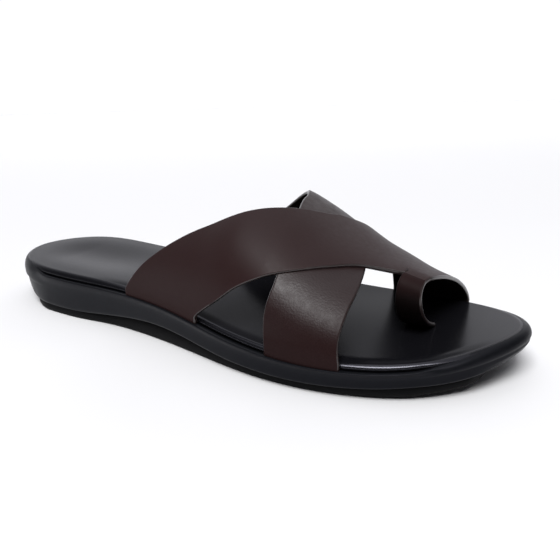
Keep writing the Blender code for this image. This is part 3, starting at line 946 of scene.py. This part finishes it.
def groove_ring(across, depth):
    """Ring in the groove beside the insole, two fifths less deep along the heel."""
    return (
        lambda x: insole_edge(x) - groove_width(x) * (1 - across),
        lambda x: rim_height(x) - depth * (1 - 0.4 * (x < SHALLOW_GROOVE_END)),
        no_drop,
    )


def wall_rings(count):
    """Side wall from WALL, with the groove and the seat under the insole behind it."""
    table = np.array([(k, *row) for k, row in enumerate(WALL)])
    rings = []
    for k in np.linspace(0, len(WALL) - 1, count):
        share = float(smooth_table(table, 2, k))
        ring = wall_ring(float(smooth_table(table, 1, k)) * WALL_BULGE, share)
        if k < 1:
            ring = under_lip(ring, ease(k))
        if share > CURVE_START:
            ring = blend(ring, end_ring(share))
        rings.append(ring)
    for across, depth, angle in GROOVE:
        rings.append(blend(groove_ring(across, depth), on_roll(math.radians(angle), 0.00003)))
    return rings


def hump(x, form):
    """Depth times exp(-((share of the length - station) / spread)^2)."""
    depth, middle, spread = form
    return depth * np.exp(-(((station(x) - middle) / spread) ** 2))


def insole_dish(x, across):
    """Top of the insole: dish less crown, times sin(pi across)^2, faded at both ends."""
    ends = growing(x, DISH_FROM_HEEL) * growing(x, DISH_FROM_TOE)
    return foot_height(x) - (hump(x, HEEL_DISH) - hump(x, BALL_CROWN)) * ends * np.sin(np.pi * across) ** 2


def insole_bottom(x):
    """Underside of the insole."""
    return foot_height(x) - INSOLE_THICKNESS


def rolled_edge():
    """Insole edge: a small roll below, the wide roll above it, then the crown to the top."""
    low = INSOLE_THICKNESS - ROLL_DEPTH
    rings = [(lambda x: insole_edge(x) + UNDERCUT, insole_bottom, no_drop)]
    for a in np.linspace(0, math.pi / 2, ROLL_STEPS):
        inward = low * 0.6 * (1 - math.sin(a))
        up = low * (1 - math.cos(a))
        rings.append(
            (
                lambda x, inward=inward: insole_edge(x) + inward,
                lambda x, up=up: insole_bottom(x) + up,
                no_drop,
            )
        )
    rings += [on_roll(a, 0.0) for a in np.linspace(0, math.pi / 2, ROLL_STEPS * 3)[1:]]
    for t in np.linspace(0, 1, ROLL_STEPS)[1:]:
        rings.append(
            (
                lambda x, t=t: insole_edge(x) + roll_width(x) + CROWN_WIDTH * t,
                foot_height,
                lambda x, t=t: (1 - t) ** 2,
            )
        )
    return rings


def tread_top(x):
    """Top of the tread, lapped into the sole."""
    return lip_height(x) + TREAD_LAP


midsole = ring_piece(
    "sole_wall",
    wall_rings(44),
    sole_foam,
    low_cap=lambda x, across: lip_height(x),
    high_cap=lambda x, across: rim_height(x) - SEAT_DEPTH,
    rows=8,
)

insole = ring_piece(
    "insole_cover",
    rolled_edge(),
    insole_leather,
    low_cap=lambda x, across: insole_bottom(x),
    high_cap=insole_dish,
    rows=72,
)
insole.data.materials.append(edge_leather)
edge_faces = np.zeros(len(insole.data.polygons), dtype=np.int32)
edge_faces[RING_POINTS * WIDE_ROLL[0] : RING_POINTS * WIDE_ROLL[1]] = 1
insole.data.polygons.foreach_set("material_index", edge_faces)

# Tread with a small bevel along its lower edge
tread_rings = (
    (lambda x: tread_inset(x) + 0.0012, floor_height, no_drop),
    (lambda x: tread_inset(x) + 0.0004, lambda x: floor_height(x) + 0.0003, no_drop),
    (tread_inset, lambda x: floor_height(x) + 0.0012, no_drop),
    (tread_inset, tread_top, no_drop),
)
tread = ring_piece(
    "tread",
    tread_rings,
    tread_rubber,
    low_cap=lambda x, across: floor_height(x),
    high_cap=lambda x, across: tread_top(x),
    rows=24,
)

lower = lower_strap([bent_leather_painted_shade, lining, edge_paint])
upper = upper_strap([upper_leather, lining, edge_paint, leg_leather_painted_shade])

for piece, node, slot in (
    (midsole, "midsole", "sole_foam"),
    (insole, "insole", "insole_leather"),
    (tread, "outsole", "outsole_rubber"),
    (lower, "upper", "upper_leather"),
    (upper, "upper", "upper_leather"),
):
    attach(piece, "root")
    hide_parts(node)

# Directions of the photo: back to the camera, away from it along the floor, and right
azimuth = math.radians(VIEW_TURN)
elevation = math.radians(VIEW_RISE)
roll = math.radians(VIEW_ROLL)
away = Vector((-math.sin(azimuth), math.cos(azimuth), 0.0))
right = Vector((math.cos(azimuth), math.sin(azimuth), 0.0))
back = Vector((0.0, 0.0, math.sin(elevation))) - away * math.cos(elevation)
up = back.cross(right)

scene = bpy.context.scene


def studio_floor():
    """White floor that reaches far to the near side and to both sides."""
    mesh = bpy.data.meshes.new("floor")
    ends = ((-FLOOR_REACH, -1), (-FLOOR_REACH, 1), (FLOOR_BEHIND, 1), (FLOOR_BEHIND, -1))
    corners = [away * behind + right * side * FLOOR_REACH for behind, side in ends]
    mesh.from_pydata(corners, [], [(0, 1, 2, 3)])
    mesh.materials.append(new_material("white_studio_floor", "f6f6f7", 0.9)[0])
    plane = bpy.data.objects.new("floor", mesh)
    scene.collection.objects.link(plane)
    return plane


floor = studio_floor()


def studio_world():
    """White backdrop behind the sandal, dimmer high up, and a dim studio on the near side.

    Strength is (near to back by the direction's share away from the camera) times (1 to
    HIGH_LIGHT by its rise), plus up to ZENITH_LIGHT overhead.
    """
    world = bpy.data.worlds.new("studio")
    world.use_nodes = True
    tree = world.node_tree
    direction = add_node(tree, "ShaderNodeTexCoord").outputs["Generated"]
    facing = add_node(
        tree,
        "ShaderNodeVectorMath",
        {"operation": "DOT_PRODUCT", 1: tuple(away)},
        {0: direction},
    )
    strength = add_node(
        tree,
        "ShaderNodeMapRange",
        {"From Min": 0.1, "From Max": 0.8, "To Min": NEAR_LIGHT, "To Max": BACK_LIGHT},
        {"Value": facing.outputs["Value"]},
    )
    rise = add_node(tree, "ShaderNodeSeparateXYZ", {}, {"Vector": direction}).outputs["Z"]
    height = add_node(
        tree,
        "ShaderNodeMapRange",
        {
            "From Min": 0.08,
            "From Max": 0.75,
            "To Min": 1.0,
            "To Max": HIGH_LIGHT,
            "interpolation_type": "SMOOTHSTEP",
        },
        {"Value": rise},
    )
    zenith = add_node(
        tree,
        "ShaderNodeMapRange",
        {"From Min": 0.70, "From Max": 0.98, "To Min": 0.0, "To Max": ZENITH_LIGHT},
        {"Value": rise},
    )
    both = add_node(
        tree,
        "ShaderNodeMath",
        {"operation": "MULTIPLY_ADD"},
        {0: strength.outputs["Result"], 1: height.outputs["Result"], 2: zenith.outputs["Result"]},
    )
    sky = tree.nodes["Background"]
    sky.inputs["Color"].default_value = hex_color("f9f9ff")
    tree.links.new(both.outputs["Value"], sky.inputs["Strength"])
    return world


scene.world = studio_world()


def softbox(name, place_at, look_at, size, power):
    """Rectangular area light of a power in watts, turned to a point."""
    light = bpy.data.lights.new(name, "AREA")
    light.shape = "RECTANGLE"
    light.size = size[0]
    light.size_y = size[1]
    light.energy = power
    lamp = bpy.data.objects.new(name, light)
    scene.collection.objects.link(lamp)
    lamp.location = place_at
    lamp.rotation_mode = "QUATERNION"
    lamp.rotation_quaternion = (Vector(look_at) - Vector(place_at)).to_track_quat("-Z", "Y")


# Key light from the near side, a weak one from behind, and one that faces away from the
# sandal and whitens the floor behind it
softbox("key_softbox", (0.68, -1.83, 3.30), (0.05, 0.0, 0.03), (2.10, 1.60), 127)
softbox("back_softbox", (-0.15, 2.6, 1.7), (-0.30, 1.5, 0.0), (1.6, 1.0), 3)
softbox("backdrop_softbox", (-0.50, 0.85, 1.0), (-1.18, 1.93, 0.0), (2.4, 0.6), 8)

# The columns of the camera's matrix are right and up, turned by the roll, and back
camera_data = bpy.data.cameras.new("camera")
camera_data.sensor_width = 36
camera_data.lens = FOCAL_PIXELS / PHOTO_PIXELS * camera_data.sensor_width
camera_data.clip_start = 0.01
camera = bpy.data.objects.new("camera", camera_data)
scene.collection.objects.link(camera)
turned_right = right * math.cos(roll) + up * math.sin(roll)
turned_up = up * math.cos(roll) - right * math.sin(roll)
target = Vector(VIEW_TARGET) - Vector((MIDDLE_X, MIDDLE_Y, 0.0))
matrix = Matrix((turned_right, turned_up, back)).transposed().to_4x4()
matrix.translation = target + back * VIEW_DISTANCE
camera.matrix_world = matrix
scene.camera = camera
scene.view_settings.view_transform = "Standard"
